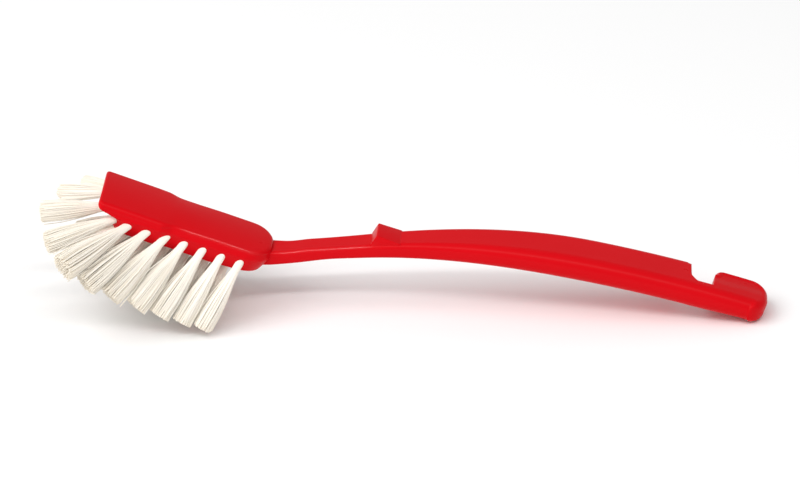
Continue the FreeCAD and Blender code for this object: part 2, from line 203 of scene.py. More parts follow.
def arched(plan):
    """Height of the arched top: -crown (y / half width)^2, less a fall at the rear."""
    x, y = plan[..., 0], plan[..., 1]
    crown = CROWN_FRONT + STEP_CROWN * eased(1 - np.abs(x - STEP_AT - STEP_RUN) / STEP_REACH)
    crown = crown + (CROWN_REAR - CROWN_FRONT) * eased((x - STEP_AT) / -STEP_AT)
    fall = REAR_FALL * np.clip(1 + x / REAR_FALL_RUN, 0, 1) ** 2
    return -crown * (y / stepped(x, FRONT_HALF, REAR_HALF)) ** 2 - fall


def edge_radius(loop):
    """Radius of the top's edge: soft on the front half's sides and round the rear, else crisp."""
    x, aside = loop[:, 0], np.abs(outward(loop)[:, 1])
    soft_side = aside ** 2 * (1 - eased((x - STEP_AT) / STEP_RUN + 0.5))
    soft_rear = eased((x + RIDGE_FADE) / RIDGE_FADE)
    return CRISP_EDGE + (SOFT_EDGE - CRISP_EDGE) * soft_side + (REAR_EDGE - CRISP_EDGE) * soft_rear


def dipped(loop, depth, dip, start, run):
    """An outline at a depth that grows by the dip, from a start and over a run forwards."""
    return np.column_stack([loop, -depth - dip * eased((start - loop[:, 0]) / run)])


def top_rings():
    """Rings from the spine out, then down round the edge: inset r (1 - cos), drop r (1 - sin)."""
    edge = head_loop(-HEAD_LENGTH, 0, FRONT_HALF, REAR_HALF, LIP_CORNER, REAR_ROUNDING)
    radius = edge_radius(edge)
    turn = EDGE_TURN[:, None]
    inset = radius * (1 - np.cos(turn))
    plan = edge - inset[..., None] * outward(edge)
    drop = radius * (1 - np.sin(turn))
    rounded = np.concatenate([plan, (arched(plan) - drop)[..., None]], axis=2)

    spine_x = np.clip(edge[:, 0], SPINE_INSET - HEAD_LENGTH, -SPINE_INSET)
    spine = np.column_stack([spine_x, np.zeros_like(spine_x)])
    flat = spine + (plan[0] - spine) * TOP_SHARES[:, None, None]
    lip = dipped(edge, -rounded[-1, :, 2], LIP_WALL, *RIM_DIP)
    arch = np.concatenate([flat, arched(flat)[..., None]], axis=2)
    return np.concatenate([arch, rounded, lip[None]])


def head_rings():
    """The top's rings, then weighted means of the lip's edge, the rim and the bed."""
    top = top_rings()
    weights = np.concatenate([
        [[0.7, 0.3, 0], [0.35, 0.65, 0]],
        bend([0.14, 0.86, 0], [0, 1, 0], [0, 0.9, 0.1]),
        [[0, 0.5, 0.5], [0, 0.06, 0.94], [0, 0, 1]],
    ])
    rim = dipped(head_loop(*RIM_PLAN), RIM_DEPTH, RIM_SWEEP, *RIM_DIP)
    bed = dipped(head_loop(*BED_PLAN), BED_DEPTH, BED_SWEEP, *BED_DIP)
    levels = np.stack([top[-1], rim, bed])
    return np.concatenate([top, np.einsum("lk,kpc->lpc", weights, levels)])


head_grid = head_rings()
head = skin("head", head_grid)

# %% [markdown]
# ## The handle's centre line and plan
#
# The neck leaves the head in a straight run, then the handle arches over and flattens out. Its
# width and thickness swell from neck to grip. The end is rounded, and a notch cut in from the far
# side makes the hook that the brush hangs by. A sweep along a curve object can't make that notch,
# so the handle is a grid: one direction runs along the centre line, and the other runs across,
# between the near edge and the far edge.

# %% Centre line, sizes and edges of the handle
NECK_DROP, NECK_ANGLE, NECK_LENGTH, NECK_BURY = 4.3, math.radians(25.6), 38.9, 5.0
ARCH_RADIUS, ARCH_LENGTH = 300.0, 86.9
TAIL_RADIUS, TAIL_LENGTH = 600.0, 70.3
HANDLE_END = NECK_LENGTH + ARCH_LENGTH + TAIL_LENGTH
NECK_WIDTH, NECK_THICKNESS, NECK_EDGE = 10.3, 4.9, 1.3
GRIP_WIDTH, GRIP_THICKNESS, GRIP_EDGE = 22.4, 10.0, 4.5
WIDER_FROM, THICKER_FROM, SWELL_END = 18.0, 10.0, 126.0
NECK_FLARE, FLARE_LENGTH = 0.7, 9.0
BELLY, HOLLOW = (1.0, 6.0, 20.0), (0.4, 8.0, 8.0)    # just behind the head: size, place, reach
LIFT, LIFT_REACH = 0.9, 30.0
LINE_POINTS = 8001                           # of the running sum along the centre line
END_NEAR, END_FAR = (7.5, 9.0), (7.0, 8.5)          # corners of the end: along, across


def centre_line(run):
    """Place and slope of the centre line at each distance from the head.

    The slope is NECK_ANGLE on the neck and falls by distance / radius on each arc. The place is the
    running sum of the cosine and the sine of the slope.
    """
    fine = np.linspace(-NECK_BURY, HANDLE_END, LINE_POINTS)
    slope = (NECK_ANGLE - np.clip(fine - NECK_LENGTH, 0, ARCH_LENGTH) / ARCH_RADIUS
             - np.clip(fine - NECK_LENGTH - ARCH_LENGTH, 0, None) / TAIL_RADIUS)
    middle = (slope[1:] + slope[:-1]) / 2
    step = fine[1] - fine[0]
    x = np.append(0, np.cumsum(np.cos(middle))) * step - NECK_BURY * math.cos(NECK_ANGLE)
    z = np.append(0, np.cumsum(np.sin(middle))) * step - NECK_BURY * math.sin(NECK_ANGLE)
    return tuple(np.interp(run, fine, values) for values in (x, z - NECK_DROP, slope))


def swelling(run, neck_size, grip_size, start):
    """A size that eases from the neck's to the grip's."""
    return neck_size + (grip_size - neck_size) * eased((run - start) / (SWELL_END - start))


def half_width(run):
    """Half of the swelling width, and the flare of the neck's root."""
    return swelling(run, NECK_WIDTH, GRIP_WIDTH, WIDER_FROM) / 2 + flare(run)


def half_thickness(run):
    """Half of the swelling thickness."""
    return swelling(run, NECK_THICKNESS, GRIP_THICKNESS, THICKER_FROM) / 2


def flare(run):
    """How much the neck's root spreads on each side: a parabola that ends level."""
    return NECK_FLARE * np.clip(1 - np.maximum(run, 0) / FLARE_LENGTH, 0, 1) ** 2


def hump(run, size, place, reach):
    """A cosine squared hump: how much the neck's underside hangs, or its top is hollowed."""
    return size * np.cos(math.pi / 2 * np.clip((run - place) / reach, -1, 1)) ** 2


def lift(run):
    """How much the underside rises towards the end, where the hook is thinner."""
    return LIFT * eased(1 - (HANDLE_END - run) / LIFT_REACH)


def drawn_in(run, corner):
    """How far an edge has drawn in near the end, on an ellipse: b - b sqrt(1 - (ahead / a)^2)."""
    along, across = corner
    ahead = np.clip(run - (HANDLE_END - along), 0, along) / along
    return across * (1 - np.sqrt(1 - ahead ** 2))


print("handle:", round(HANDLE_END, 1), "mm along its centre line")

# %% [markdown]
# ## The notch
#
# Seen from above, the notch has a square wall, a sloped corner, a floor, and the leaning wall of
# the hook. That is a line with a few corners, and each corner is rounded by the same parabola as
# the rim of the head. The square wall leans by a hair, so that the far edge stays a function of
# the distance along the handle.

# %% Plan of the notch
NOTCH_FROM_END = 31.4
NOTCH_START = HANDLE_END - NOTCH_FROM_END
NOTCH_DEPTH, NOTCH_FLOOR = 15.6, 6.1
CORNER_RUN, CORNER_RISE = 2.5, 3.5
WALL_LEAN, HOOK_LEAN = 0.2, math.tan(math.radians(7))
HOOK_INSET = 2.0                             # the hook is narrower on the far side
GRIP_HALF, HOOK_HALF = GRIP_WIDTH / 2, GRIP_WIDTH / 2 - HOOK_INSET
FLOOR_END = NOTCH_START + CORNER_RUN + NOTCH_FLOOR
HOOK_START = FLOOR_END + (HOOK_HALF - GRIP_HALF + NOTCH_DEPTH) * HOOK_LEAN
EDGE_LEAD = 4.4                              # how much of the straight edge the line takes in
notch_corners = np.array([
    (NOTCH_START - EDGE_LEAD, GRIP_HALF),
    (NOTCH_START, GRIP_HALF),
    (NOTCH_START + WALL_LEAN, GRIP_HALF - NOTCH_DEPTH + CORNER_RISE),
    (NOTCH_START + CORNER_RUN, GRIP_HALF - NOTCH_DEPTH),
    (FLOOR_END, GRIP_HALF - NOTCH_DEPTH),
    (HOOK_START, HOOK_HALF),
    (HOOK_START + EDGE_LEAD, HOOK_HALF),
])
corner_cuts = np.array([0.7, 0.8, 0.8, 0.5, 3.4])
BEND_POINTS = 11                             # points round each cut corner


def rounded_line(corners, cuts):
    """A line through corners, with each inner corner cut back and bridged by a parabola."""
    ways = np.diff(corners, axis=0)
    ways /= np.linalg.norm(ways, axis=1, keepdims=True)
    before = corners[1:-1] - ways[:-1] * cuts[:, None]
    after = corners[1:-1] + ways[1:] * cuts[:, None]
    bends = [bend(start, corner, end, BEND_POINTS)
             for start, corner, end in zip(before, corners[1:-1], after)]
    return np.concatenate([corners[:1], *bends, corners[-1:]])


notch_line = rounded_line(notch_corners, corner_cuts)


def near_edge(run):
    """The near edge in plan: half a width out, less what the end's corner draws in."""
    return drawn_in(run, END_NEAR) - half_width(run)


def far_edge(run):
    """The far edge in plan: the same on the other side, or the notch where that lies further in."""
    outer = np.where(run > HOOK_START, HOOK_HALF, half_width(run)) - drawn_in(run, END_FAR)
    return np.minimum(outer, np.interp(run, *notch_line.T, left=np.inf, right=np.inf))


print("notch:", len(notch_line), "points, mouth", round(HOOK_START - NOTCH_START, 2), "mm")

# %% [markdown]
# ## The handle as a grid
#
# Every upper and lower edge of the handle is rounded, also round the notch and the end. The
# height of a point needs only its distance d to the edge: a rounding of radius r lowers it by
# r - sqrt(r^2 - (r - d)^2). So the stations along the handle are packed where the edge turns, the
# lines across are packed where the rounding bends, and one formula shapes everything. The top of
# the hook is also dished a little inside a raised rim, and the dish needs only that distance too.

# %% Build the handle
NOTCH_EDGE, HOOK_EDGE = 0.6, 2.6             # radii of the notch's rim and of the hook's rim
ROUND_SHARES = 1 - np.cos(QUARTER[::3])      # lines across a rounding, packed towards its edge
WALL_POINT = 1 + BEND_POINTS                 # of notch_line, where the square wall starts
HOOK_POINTS = slice(-1 - BEND_POINTS, None)  # of notch_line, round the hook's corner
INNER_LINES = 22
ROUNDED_SHARE = 0.45                         # of the width, for one side's rounding at most
STATION_GAP, HOOK_GAP, NOTCH_GAP, LEAST_GAP = 1.5, 0.5, 0.15, 0.012
BEFORE_NOTCH, BEFORE_WALL = 1.6, 0.3         # how early the closer stations start
PAST_WALL = 1.5 * WALL_LEAN
FLARE_STATIONS, WALL_STATIONS, END_STATIONS = 13, 26, 36
BATCHES = 16                                 # long arrays are worked through in parts
DISH_DEPTH, DISH_RIM, DISH_SLOPE = 0.5, 1.5, 1.8
DISH_NEAR, DISH_REACH = -3.6, 7.0            # from the near side the dish comes in slowly


def distance_to(line, points):
    """Distance from each point to the nearest segment of a line, in the plan."""
    start, way = line[:-1], np.diff(line, axis=0)
    length = np.maximum(np.sum(way ** 2, axis=1), 1e-12)

    def nearest(some):
        offset = some[:, None] - start
        share = np.clip(np.sum(offset * way, axis=2) / length, 0, 1)
        return np.linalg.norm(offset - share[..., None] * way, axis=2).min(axis=1)

    return np.concatenate([nearest(some) for some in np.array_split(points, BATCHES)])


def lowered(distance, radius):
    """How far a rounding lowers a point: r - sqrt(r^2 - (r - d)^2), and nothing past it."""
    inside = np.clip(radius - distance, 0, radius)
    return radius - np.sqrt(radius ** 2 - inside ** 2)


def dished(spots, from_hook):
    """How deep the hook's top is dished: it eases in from the rim and from the near side."""
    from_rim = eased((from_hook - DISH_RIM) / DISH_SLOPE)
    from_side = eased((spots[:, 1] - DISH_NEAR) / DISH_REACH)
    return DISH_DEPTH * (from_rim * from_side) * (spots[:, 0] > FLOOR_END)


def stations():
    """Distances along the handle, closer at the flare, the notch, the hook and the end."""
    swept = np.sin(np.linspace(0, math.pi / 2, END_STATIONS))
    run = np.sort(np.concatenate([
        np.arange(-NECK_BURY, HANDLE_END - END_FAR[0], STATION_GAP),
        np.linspace(0, FLARE_LENGTH, FLARE_STATIONS),
        np.arange(NOTCH_START - BEFORE_NOTCH, HOOK_START + EDGE_LEAD, NOTCH_GAP),
        np.arange(HOOK_START + EDGE_LEAD, HANDLE_END - END_NEAR[0], HOOK_GAP),
        np.linspace(NOTCH_START - BEFORE_WALL, NOTCH_START + PAST_WALL, WALL_STATIONS),
        notch_line[:, 0],
        HANDLE_END - END_FAR[0] * (1 - swept),
        HANDLE_END - END_NEAR[0] * (1 - swept),
    ]))
    apart = np.append(np.diff(run) > LEAST_GAP, True)
    return run[apart]


def rims(run, near, far, side_radius):
    """The handle's outline as lines in the plan, each with the radius of its rounded edge."""
    near_line, far_line = np.column_stack([run, near]), np.column_stack([run, far])
    at_end = run > HANDLE_END - END_NEAR[0]
    hook = np.concatenate([notch_line[HOOK_POINTS], far_line[run > HOOK_START + EDGE_LEAD],
                           near_line[at_end][::-1]])
    before = np.concatenate([far_line[run < NOTCH_START - EDGE_LEAD], notch_line[:WALL_POINT]])
    return [(near_line[~at_end], side_radius), (before, side_radius),
            (notch_line[WALL_POINT - 1:], NOTCH_EDGE), (hook, HOOK_EDGE)]


def lines_across(run, near, far, side_radius):
    """Places across the handle at each station, packed towards both edges."""
    far_radius = np.select([run < NOTCH_START, run < HOOK_START],
                           [side_radius, NOTCH_EDGE], HOOK_EDGE)
    room = ROUNDED_SHARE * (far - near)
    near_lines = near[:, None] + np.minimum(side_radius, room)[:, None] * ROUND_SHARES
    far_lines = (far[:, None] - np.minimum(far_radius, room)[:, None] * ROUND_SHARES)[:, ::-1]
    spread = np.linspace(0, 1, INNER_LINES + 2)[1:-1]
    inner_lines = near_lines[:, -1:] + (far_lines[:, :1] - near_lines[:, -1:]) * spread
    return np.concatenate([near_lines, inner_lines, far_lines], axis=1)


def handle_rings():
    """Rings of the handle: a spot's height is half the thickness, less its deepest rounding."""
    run = stations()
    near, far = near_edge(run), far_edge(run)
    side_radius = swelling(run, NECK_EDGE, GRIP_EDGE, WIDER_FROM)
    across = lines_across(run, near, far, side_radius)
    spots = np.column_stack([np.broadcast_to(run[:, None], across.shape).ravel(), across.ravel()])
    lines, radii = zip(*rims(run, near, far, side_radius))
    distances = [distance_to(line, spots) for line in lines]
    roundings = [lowered(distance.reshape(across.shape), np.reshape(radius, (-1, 1)))
                 for distance, radius in zip(distances, radii)]
    height = half_thickness(run)[:, None] - np.max(roundings, axis=0)

    x, z, slope = (values[:, None] for values in centre_line(run))
    depth = height + (hump(run, *BELLY) - lift(run))[:, None]
    dish = dished(spots, distances[-1]).reshape(across.shape)
    height = height - hump(run, *HOLLOW)[:, None] - dish
    around_y = np.concatenate([across, across[:, ::-1]], axis=1)
    around_up = np.concatenate([-depth, height[:, ::-1]], axis=1)
    return np.stack([x - around_up * np.sin(slope), around_y,
                     z + around_up * np.cos(slope)], axis=2)


handle_grid = handle_rings()
handle = skin("handle", handle_grid)

# %% [markdown]
# ## The thumb stop
#
# On top of the neck sits a wedge that stops the thumb, steep on the side of the head. It is one
# profile, carried straight across. Near both ends the profile shrinks along its own normals while
# it turns a quarter circle, which rounds the edges of the two flat sides.

# %% Build the thumb stop
STOP_AT, STOP_LENGTH, STOP_FRONT_RUN, STOP_HEIGHT = 39.8, 12.0, 3.1, 4.2
STOP_HALF_WIDTH, STOP_SPREAD, STOP_EDGE, STOP_CORNER = 5.1, 0.8, 0.25, 0.55


def thumb_stop_rings():
    """The wedge's profile, inset by r (1 - sin a) near both sides and set on the neck's slope."""
    x, z, slope = centre_line(np.array([STOP_AT]))
    top = half_thickness(STOP_AT)
    corners = np.array([(0, 0), (STOP_LENGTH, 0), (STOP_LENGTH, top),
                        (STOP_FRONT_RUN, top + STOP_HEIGHT), (0, top), (0, 0)], float)
    profile = rounded_line(corners, np.full(len(corners) - 2, STOP_CORNER))[:-1]
    turn = QUARTER[::6]
    inset = STOP_EDGE * np.concatenate([1 - np.sin(turn), (1 - np.sin(turn))[::-1]])
    side = STOP_EDGE * (1 - np.cos(turn))
    y = np.concatenate([STOP_HALF_WIDTH - side, side[::-1] - STOP_HALF_WIDTH])
    drawn = profile[None] - inset[:, None, None] * outward(profile)
    along, up = drawn[..., 0], drawn[..., 1]
    return np.stack([x + along * np.cos(slope) - up * np.sin(slope),
                     y[:, None] * (1 + STOP_SPREAD / STOP_HALF_WIDTH * along / STOP_LENGTH),
                     z + along * np.sin(slope) + up * np.cos(slope)], axis=2)


thumb_stop = skin("thumb_stop", thumb_stop_rings())

# %% [markdown]
# ## Where the tufts are
#
# Each tuft's cone in the frame says where its bundle goes. The corners of a cone spread most
# along its axis, so the first singular vector of its corners is nearly that axis. The two end
# discs then give it exactly: their middles are the root, on the floor of the hole, and the tip.

# %% Read the tufts' axes from the frame
tuft_names = sorted(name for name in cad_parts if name.startswith("tuft_"))
END_REACHES = (0.6, 0.1, 0.02)               # in each pass, corners this near an end are its disc


def corners_of(node):
    """A node's corners in millimetres, each once, as an array."""
    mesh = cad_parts[node].data
    flat = np.empty(len(mesh.vertices) * 3)
    mesh.vertices.foreach_get("co", flat)
    return np.unique(np.round(flat.reshape(-1, 3) / MM, 4), axis=0)


def tuft_axis(node):
    """Root and tip of a tuft's cone, from the middles of its two end discs."""
    points = corners_of(node)
    way = np.linalg.svd(points - points.mean(axis=0), full_matrices=False)[2][0]
    for reach in END_REACHES:
        along = points @ way
        ends = [points[along < along.min() + reach], points[along > along.max() - reach]]
        first, last = (end.mean(axis=0) for end in ends)
        way = (last - first) / np.linalg.norm(last - first)
    wide_first = np.ptp(ends[0], axis=0).max() > np.ptp(ends[1], axis=0).max()
    return (last, first) if wide_first else (first, last)


axes = {name: tuft_axis(name) for name in tuft_names}
lengths = [np.linalg.norm(tip - root) for root, tip in axes.values()]
print(len(axes), "tufts,", round(min(lengths), 2), "to", round(max(lengths), 2), "mm long")

# %% [markdown]
# ## One moulding
#
# The real head, handle and thumb stop come out of one mould, so the three skins are joined by a
# Boolean and the holes for the tufts are cut from the result. The Boolean is worked out once and
# kept as a plain mesh. Faces are shaded smooth, and an edge stays sharp only where it turns by
# more than a set angle.

# %% Join the moulding and drill it
ROOT_RADIUS, HOLE_RADIUS = 1.6, 1.68
OUTER_HOLE, INNER_HOLE, PAST_MOUTH = 3.8, 6.0, 4.6
SHORT_OF_FLOOR = 0.6                         # below the wire, where nothing shows
SHARP_ANGLE = math.radians(38)
RING = np.linspace(0, 2 * math.pi, 32, endpoint=False)


def square_to(way):
    """Two unit vectors square to a direction and to each other, right-handed."""
    side = np.cross(way, [0.0, 1.0, 0.0])
    side /= np.linalg.norm(side)
    return side, np.cross(way, side)


def hole_depth(node):
    """How deep a tuft's hole is: the inner ones stand on the flat bed, where there is more room."""
    return INNER_HOLE if "inner" in node else OUTER_HOLE


def drill(node):
    """A cylinder from below a tuft's wire to well past the mouth: c + r (cos a U + sin a V)."""
    root, tip = axes[node]
    way = (tip - root) / np.linalg.norm(tip - root)
    side, up = square_to(way)
    ring = HOLE_RADIUS * (np.cos(RING)[:, None] * side + np.sin(RING)[:, None] * up)
    floors = np.array([SHORT_OF_FLOOR, hole_depth(node) + PAST_MOUTH])
    return root + floors[:, None, None] * way + ring


def drills():
    """All the drills as one mesh: walls of quads, and a cap at each end."""
    rings = np.stack([drill(node) for node in tuft_names])
    count, _, around, _ = rings.shape
    index = np.arange(count * 2 * around).reshape(count, 2, around)
    low, high = index[:, 0], index[:, 1]
    walls = np.stack([low, np.roll(low, -1, 1), np.roll(high, -1, 1), high], -1).reshape(-1, 4)
    faces = walls.tolist() + low[:, ::-1].tolist() + high.tolist()
    return add_piece("drills", rings.reshape(-1, 3) * MM, faces)


def combine(base, tool, operation):
    """Join or cut two closed skins for good, and drop the tool."""
    step = base.modifiers.new(operation.title(), "BOOLEAN")
    step.operation = operation
    step.solver = "EXACT"
    step.object = tool
    shaped = base.evaluated_get(bpy.context.evaluated_depsgraph_get())
    base.data = bpy.data.meshes.new_from_object(shaped)
    base.modifiers.clear()
    bpy.data.objects.remove(tool)


def shade(piece):
    """Smooth shading, with sharp edges past the set angle."""
    piece.data.shade_smooth()
    piece.data.set_sharp_from_angle(angle=SHARP_ANGLE)


moulding = head
moulding.name = "moulding"
combine(moulding, handle, "UNION")
combine(moulding, thumb_stop, "UNION")
combine(moulding, drills(), "DIFFERENCE")
shade(moulding)
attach(moulding, "root")
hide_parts("brush_body")
print("moulding:", len(moulding.data.polygons), "faces")

# %% [markdown]
# ## Glossy ridges
#
# The crisp edges of the head's rear sides and of the neck are glossier than the rest, and each
# catches a thin bright line. A mask painted by hand would do, but the rings already know where
# these edges run. So each point of the moulding is given a value that falls from a ridge's gloss
# to 0 a little way off, and the finish reads it.

# %% Mark the glossy ridges
GLOSS_REACH, GLOSS_FADE = 1.0, 7.0
HEAD_RIDGE = len(TOP_SHARES) + len(EDGE_TURN) // 2   # the head's ring half way round its edge
LINES_ACROSS, HALF_ROUND = INNER_LINES + 2 * len(ROUND_SHARES), len(ROUND_SHARES) // 2
NEAR_RIDGE, FAR_RIDGE = -1 - HALF_ROUND, LINES_ACROSS + HALF_ROUND   # the handle's lines there
HEAD_SPAN, NECK_SPAN = (-39.0, -3.0), (0.0, 42.0)    # along the head, along the handle
HEAD_GLOSS, NECK_GLOSS = 1.0, 0.65


def glossed(along, span):
    """How glossy a ridge is: 1 in the span, easing to 0 at both of its ends."""
    return eased((along - span[0]) / GLOSS_FADE) * eased((span[1] - along) / GLOSS_FADE)


def ridges():
    """Points along the crisp edges, and how glossy each is."""
    on_head = head_grid[HEAD_RIDGE]
    on_neck = handle_grid[:, [NEAR_RIDGE, FAR_RIDGE]].reshape(-1, 3)
    along_neck = np.repeat(stations(), 2)
    amount = np.concatenate([HEAD_GLOSS * glossed(on_head[:, 0], HEAD_SPAN),
                             NECK_GLOSS * glossed(along_neck, NECK_SPAN)])
    points = laid_down(np.concatenate([on_head, on_neck])) / MM
    return points[amount > 0], amount[amount > 0]


def mark_ridges(piece):
    """The nearest ridge's gloss, times an easing from 1 on the ridge to 0 at the reach."""
    points, amount = ridges()
    flat = np.empty(len(piece.data.vertices) * 3)
    piece.data.vertices.foreach_get("co", flat)
    values = []
    for some in np.array_split(flat.reshape(-1, 3) / MM, BATCHES):
        gap = np.linalg.norm(some[:, None] - points, axis=2)
        values.append(amount[gap.argmin(axis=1)] * eased(1 - gap.min(axis=1) / GLOSS_REACH))
    values = np.concatenate(values)
    piece.data.attributes.new("gloss", "FLOAT", "POINT").data.foreach_set("value", values)
    print("ridges:", int((values > 0).sum()), "of", len(values), "points are glossy")


mark_ridges(moulding)

# %% [markdown]
# ## Bundles of filaments
#
# A tuft is a bunch of nylon filaments, folded over its wire and pushed into a hole. Hair
# particles could draw it, but an exported mesh loses them. So each filament is a thin
# five-sided rod. Their places in the bunch follow a sunflower spiral, which fills a disc evenly,
# and the disc grows from the hole's size to the tip's. Each filament also bows a little, ends at
# its own length, and a few have strayed.

# %% Build the filaments
FILAMENTS = 420
FILAMENT_RADIUS = 0.2
SIDES = np.linspace(0, 2 * math.pi, 5, endpoint=False)
STEPS = np.array([0.0, 0.16, 0.28, 0.41, 0.56, 0.77, 1.0])   # shares of a filament's length
REAR_TIP, FRONT_TIP, FAR_TIP = 3.7, 5.6, 3.2 # radii of the tips, which grow towards the front
FAN_TIPS = {"near": 4.2, "centre": 3.8, "far": 2.8}
TUFTS_IN_ROW = 7
FLARE_END, FLARE_POWER = 0.88, 1.3           # past that share of its length a tuft is straight
BEVEL_EXTRA = 2.4                            # a bevelled hole ends this far past its middle
ABOVE_WIRE = 2.35                            # the filaments show from the top of their wire
LEAN, BOW, SLANT = 0.05, 0.14, 0.25          # how much filaments lean, bow and are cut on a slant
STRAY_SHARE, STRAY_LEAN = 0.05, (0.15, 0.45)
SHORTER, SHORTEST = 0.8, 4.0                 # how much filaments fall short, on average and at most
GOLDEN_TURN = math.pi * (3 - math.sqrt(5))
FLOOR_GAP = 0.03


def sunflower(count):
    """Points that fill a unit disc evenly: radius sqrt(k / n), angle k times the golden turn."""
    k = np.arange(count) + 0.5
    radius = np.sqrt(k / count)
    return np.column_stack([radius * np.cos(k * GOLDEN_TURN), radius * np.sin(k * GOLDEN_TURN)])


def tip_radius(node):
    """A tuft's radius at its tip: the far row is even, and the others grow to the front."""
    place = node.split("_")[-1]
    if "front" in node:
        return FAN_TIPS[place]
    if node.startswith("tuft_far"):
        return FAR_TIP
    share = (int(place) - 1) / (TUFTS_IN_ROW - 1)
    return REAR_TIP + (FRONT_TIP - REAR_TIP) * share


def filament_lines(node, seed):
    """Centre lines of a tuft's filaments, as (filament, step, 3), and what their mesh needs.

    place = root + run * way + offset, where the offset grows from the root's disc to the tip's by a
    power of the sine of the share of the length past the mouth. That share, the two axes across the
    tuft and a tone for each filament come with the lines.
    """
    chance = np.random.default_rng(seed)
    root, tip = axes[node]
    length = np.linalg.norm(tip - root)
    way = (tip - root) / length
    frame_axes = np.stack(square_to(way))

    disc = sunflower(FILAMENTS)
    lean = chance.normal(0, LEAN, disc.shape)
    strayed = chance.random(FILAMENTS) < STRAY_SHARE
    lean[strayed] += disc[strayed] * chance.uniform(*STRAY_LEAN, (strayed.sum(), 1))
    bow = chance.normal(0, BOW, disc.shape)
    slant = chance.normal(0, SLANT, 2)
    short = np.minimum(chance.exponential(SHORTER, FILAMENTS), SHORTEST)
    short += np.maximum(disc @ slant, 0)

    run = ABOVE_WIRE + (length - short - ABOVE_WIRE)[:, None] * STEPS
    mouth = hole_depth(node) + BEVEL_EXTRA
    share = np.clip((run - mouth) / (length - mouth), 0, 1)[..., None]
    spread = np.sin(math.pi / 2 * np.minimum(share / FLARE_END, 1)) ** FLARE_POWER
    in_root = (ROOT_RADIUS - FILAMENT_RADIUS) * disc[:, None]
    at_tip = (tip_radius(node) - FILAMENT_RADIUS) * (disc + lean)[:, None]
    offset = in_root + (at_tip - in_root) * spread + bow[:, None] * np.sin(math.pi * share)
    lines = root + run[..., None] * way + offset @ frame_axes
    lines[..., 2] = np.maximum(lines[..., 2], FILAMENT_RADIUS + FLOOR_GAP)
    return lines, share[..., 0], frame_axes, chance.random(FILAMENTS)


def filament_mesh(node, seed):
    """Rods round the centre lines: place + r (cos a U + sin a V), with a cap at each end."""
    lines, share, frame_axes, tone = filament_lines(node, seed)
    around = np.column_stack([np.cos(SIDES), np.sin(SIDES)]) @ frame_axes * FILAMENT_RADIUS
    points = lines[:, :, None] + around
    count, steps, sides, _ = points.shape
    index = np.arange(points[..., 0].size).reshape(count, steps, sides)
    low, high = index[:, :-1], index[:, 1:]
    walls = np.stack([low, np.roll(low, -1, 2), np.roll(high, -1, 2), high], -1).reshape(-1, 4)
    faces = walls.tolist() + index[:, 0, ::-1].tolist() + index[:, -1].tolist()
    piece = add_piece("filaments_" + node, points.reshape(-1, 3) * MM, faces)

    uv = np.stack(np.broadcast_arrays(share[..., None], tone[:, None, None]), -1)
    uv = np.broadcast_to(uv, (count, steps, sides, 2)).reshape(-1, 2)
    corner = np.empty(len(piece.data.loops), int)
    piece.data.loops.foreach_get("vertex_index", corner)
    piece.data.uv_layers.new(name="along_and_tone").data.foreach_set("uv", uv[corner].ravel())
    return piece


bundles = []
for seed, node in enumerate(tuft_names):
    bundle = filament_mesh(node, seed)
    shade(bundle)
    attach(bundle, "root")
    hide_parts(node)
    bundles.append(bundle)
print(len(bundles), "bundles,", sum(len(bundle.data.polygons) for bundle in bundles), "faces")

# %% [markdown]
# ## Shader maths as sums
#
# Node trees are hard to read as code, because every sum takes a node and two links. This small
# class wraps one socket. Writing `1 - mask` or `a * 0.2 + b` with it adds the Math nodes, and one
# method adds any other kind of node.

# %% A socket that can be written in sums
MIX_A, MIX_B, MIX_RESULT = 6, 7, 2           # a Mix node's colour sockets


class Wire:
    """A socket of a node tree. Operators on it add Math nodes, and `node` adds any other node."""

    def __init__(self, tree, socket=None):
        self.tree = tree
        self.socket = socket

    def node(self, kind, settings, inputs, output=0):
        """Add a node, set its settings, then give its sockets their values or links."""
        made = self.tree.nodes.new(kind)
        for name, value in settings.items():
            setattr(made, name, value)
        for name, value in inputs.items():
            if isinstance(value, Wire):
                self.tree.links.new(value.socket, made.inputs[name])
            else:
                made.inputs[name].default_value = value
        return Wire(self.tree, made.outputs[output] if len(made.outputs) else None)

    def maths(self, operation, first, second):
        """A Math node on two values or wires."""
        return self.node("ShaderNodeMath", {"operation": operation}, {0: first, 1: second})

    def __add__(self, other):
        return self.maths("ADD", self, other)

    def __sub__(self, other):
        return self.maths("SUBTRACT", self, other)

    def __rsub__(self, other):
        return self.maths("SUBTRACT", other, self)

    def __mul__(self, other):
        return self.maths("MULTIPLY", self, other)

    def __pow__(self, other):
        return self.maths("POWER", self, other)

    __radd__ = __add__
    __rmul__ = __mul__

    def mixed(self, low, high):
        """A colour between two colours, by this value."""
        return self.node("ShaderNodeMix", {"data_type": "RGBA"}, {0: self, MIX_A: low, MIX_B: high},
                         MIX_RESULT)


def new_finish(name):
    """An empty material and a wire to start its nodes from."""
    material = bpy.data.materials.new(name)
    material.use_nodes = True
    material.node_tree.nodes.clear()
    return material, Wire(material.node_tree)


def cover(piece, material):
    """Give a piece one material."""
    piece.data.materials.clear()
    piece.data.materials.append(material)


# %% [markdown]
# ## Red moulded plastic
#
# The moulding is polypropylene in one strong red. Its gloss is not a mirror: highlights are
# broad, and a close look shows a faint orange-peel skin, with patches that are a little duller.
# So two noises on Object coordinates shift the colour and the roughness slightly, and a fine one
# feeds a Bump.

# %% The red plastic
RED_DEEP, RED_BRIGHT = (0.60, 0.002, 0.006, 1), (0.66, 0.003, 0.0075, 1)


